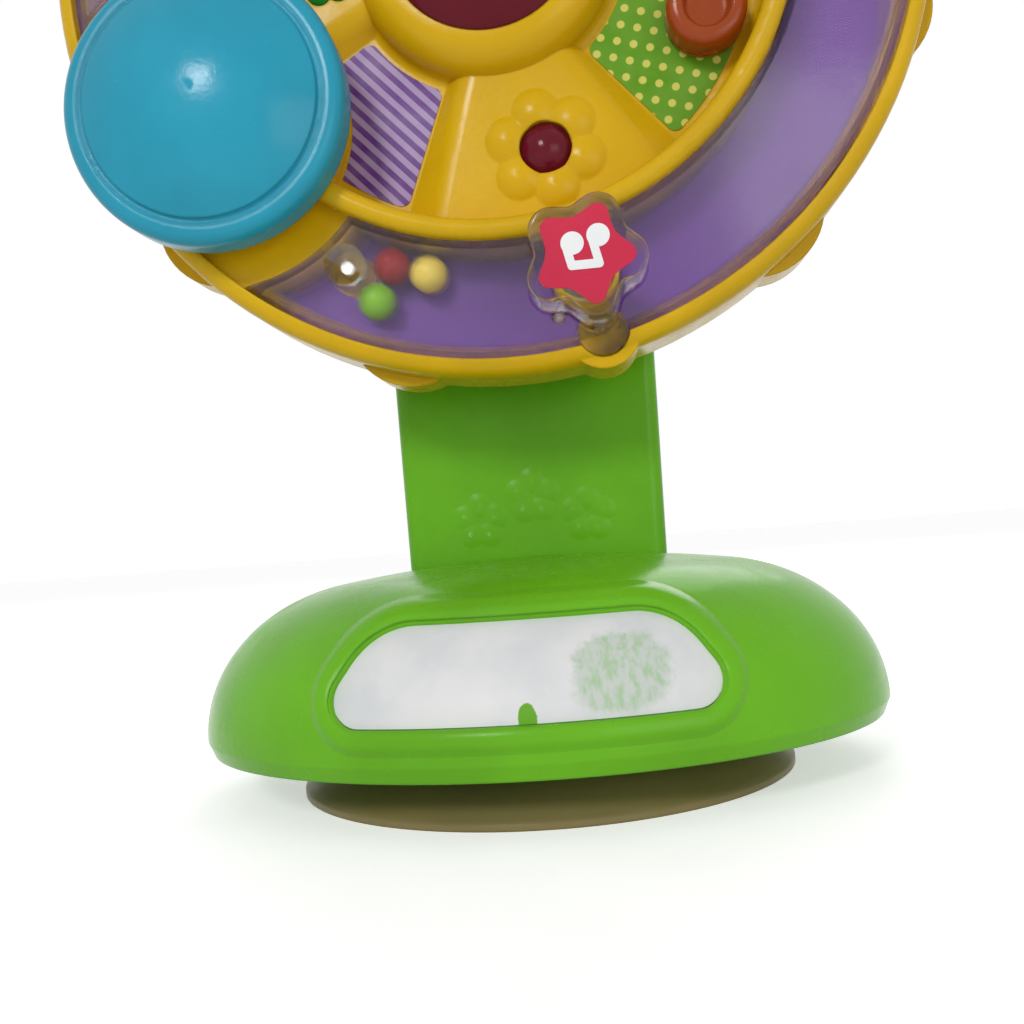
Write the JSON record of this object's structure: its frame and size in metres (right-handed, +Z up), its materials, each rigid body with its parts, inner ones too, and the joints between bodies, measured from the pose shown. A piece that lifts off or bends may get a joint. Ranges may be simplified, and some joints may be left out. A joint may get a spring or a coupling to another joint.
{
  "type": "musical spinner toy",
  "caption": "Tabletop baby toy: an activity wheel with bead track, star music button, turning dome and knob spins on an arm above a domed suction-cup base.",
  "frame": {"origin": "middle of the suction cup's foot, on the table", "axes": "+Z up, the wheel faces -Y, +X to the viewer's right"},
  "size_m": [0.18, 0.1205, 0.2625],
  "materials": {
    "green_plastic": "moulded lime green, soft gloss",
    "yellow_plastic": "moulded warm yellow, soft gloss",
    "cup_rubber": "smoky olive soft vinyl, slightly see-through",
    "burgundy_plastic": "moulded burgundy, glossy",
    "blue_plastic": "moulded turquoise, glossy",
    "orange_clear": "see-through orange brown, glossy",
    "clear_plastic": "clear, glossy",
    "purple_plastic": "purple, satin",
    "stripe_sticker": "printed purple and lavender stripes",
    "dot_sticker": "printed green with pale yellow dots",
    "white_label": "worn white paper label",
    "star_red": "printed red",
    "white_print": "printed white",
    "clover_green": "moulded green, glossy",
    "bead_red": "glossy red",
    "bead_yellow": "glossy yellow",
    "bead_green": "glossy green",
    "steel": "zinc-plated steel",
    "white_plastic": "white acetal, satin",
    "black_plastic": "black, satin",
    "board_green": "solder-masked board",
    "cell_metal": "battery jacket, dark grey",
    "cone_paper": "pressed paper",
    "lamp_clear": "clear lamp body"
  },
  "bodies": {
    "stand": {"suction_cup": "cup_rubber", "cup_clamp_ring": "black_plastic", "cup_clamp_screws": "steel", "base_plate": "green_plastic", "base_shell": "green_plastic", "base_label": "white_label", "base_screws": "steel", "arm_front_shell": "green_plastic", "arm_rear_shell": "green_plastic", "arm_screws": "steel", "trigger_magnet": "steel", "axle": "steel", "axle_thrust_washer": "white_plastic", "axle_retaining_washer": "steel", "axle_retaining_screw": "steel"},
    "wheel": {"wheel_front_shell": "yellow_plastic", "wheel_rear_cover": "yellow_plastic", "wheel_screws": "steel", "front_bush": "white_plastic", "rear_bush": "white_plastic", "hub_cap": "burgundy_plastic", "flower_inlays": "burgundy_plastic", "clover_inlay": "clover_green", "stripe_stickers": "stripe_sticker", "dot_stickers": "dot_sticker", "track_floor": "purple_plastic", "track_cover": "clear_plastic", "cover_screws": "steel", "star_spring": "steel", "button_board": "board_green", "push_switch": "black_plastic", "star_lamp": "lamp_clear", "battery_cells": "cell_metal", "battery_contacts": "steel", "battery_door": "yellow_plastic", "battery_door_screws": "steel", "speaker_frame": "steel", "speaker_cone": "cone_paper", "main_board": "board_green", "board_screws": "steel", "sound_chip": "black_plastic", "reed_switch": "black_plastic", "slider_housing": "white_plastic"},
    "star": {"star_button": "clear_plastic", "star_clip": "steel", "star_label": "star_red", "star_note": "white_print"},
    "dome": {"blue_dome": "blue_plastic", "dome_screw": "steel"},
    "knob": {"orange_knob": "orange_clear", "knob_screw": "steel"},
    "slider": {"power_slider": "black_plastic"},
    "left_bead_green": {"left_bead_green": "bead_green"},
    "left_bead_red": {"left_bead_red": "bead_red"},
    "left_bead_yellow": {"left_bead_yellow": "bead_yellow"},
    "right_bead_green": {"right_bead_green": "bead_green"},
    "right_bead_red": {"right_bead_red": "bead_red"},
    "right_bead_yellow": {"right_bead_yellow": "bead_yellow"}
  },
  "joints": [
    {"name": "wheel_spin", "type": "hinge", "parent": "stand", "child": "wheel", "pos_m": [0, 0, 0.1725], "axis": [0, -1, 0], "continuous": true},
    {"name": "star_press", "type": "slide", "parent": "wheel", "child": "star", "axis": [0, 1, 0], "range_m": [0, 0.0018], "stiffness_N_per_m": 600, "springref_m": -0.002, "deforming": ["star_spring"]},
    {"name": "dome_turn", "type": "hinge", "parent": "wheel", "child": "dome", "pos_m": [-0.05672, 0, 0.14015], "axis": [0, -1, 0], "continuous": true},
    {"name": "knob_turn", "type": "hinge", "parent": "wheel", "child": "knob", "pos_m": [0.04418, 0, 0.15374], "axis": [0, -1, 0], "continuous": true},
    {"name": "power_slide", "type": "slide", "parent": "wheel", "child": "slider", "axis": [-0.2198, 0, 0.9755], "range_m": [0, 0.004]},
    {"name": "left_green_roll", "type": "hinge", "parent": "wheel", "child": "left_bead_green", "pos_m": [0, 0, 0.1725], "axis": [0, -1, 0], "range_deg": [0, 15]},
    {"name": "left_red_roll", "type": "hinge", "parent": "wheel", "child": "left_bead_red", "pos_m": [0, 0, 0.1725], "axis": [0, -1, 0], "range_deg": [0, 15]},
    {"name": "left_yellow_roll", "type": "hinge", "parent": "wheel", "child": "left_bead_yellow", "pos_m": [0, 0, 0.1725], "axis": [0, -1, 0], "range_deg": [0, 15]},
    {"name": "right_green_roll", "type": "hinge", "parent": "wheel", "child": "right_bead_green", "pos_m": [0, 0, 0.1725], "axis": [0, -1, 0], "range_deg": [-60, 162]},
    {"name": "right_red_roll", "type": "hinge", "parent": "wheel", "child": "right_bead_red", "pos_m": [0, 0, 0.1725], "axis": [0, -1, 0], "range_deg": [-60, 162]},
    {"name": "right_yellow_roll", "type": "hinge", "parent": "wheel", "child": "right_bead_yellow", "pos_m": [0, 0, 0.1725], "axis": [0, -1, 0], "range_deg": [-60, 162]}
  ],
  "couplings": [
    {"joint": "left_red_roll", "follows": "left_green_roll", "ratio": 1},
    {"joint": "left_yellow_roll", "follows": "left_green_roll", "ratio": 1},
    {"joint": "right_red_roll", "follows": "right_green_roll", "ratio": 1},
    {"joint": "right_yellow_roll", "follows": "right_green_roll", "ratio": 1}
  ]
}
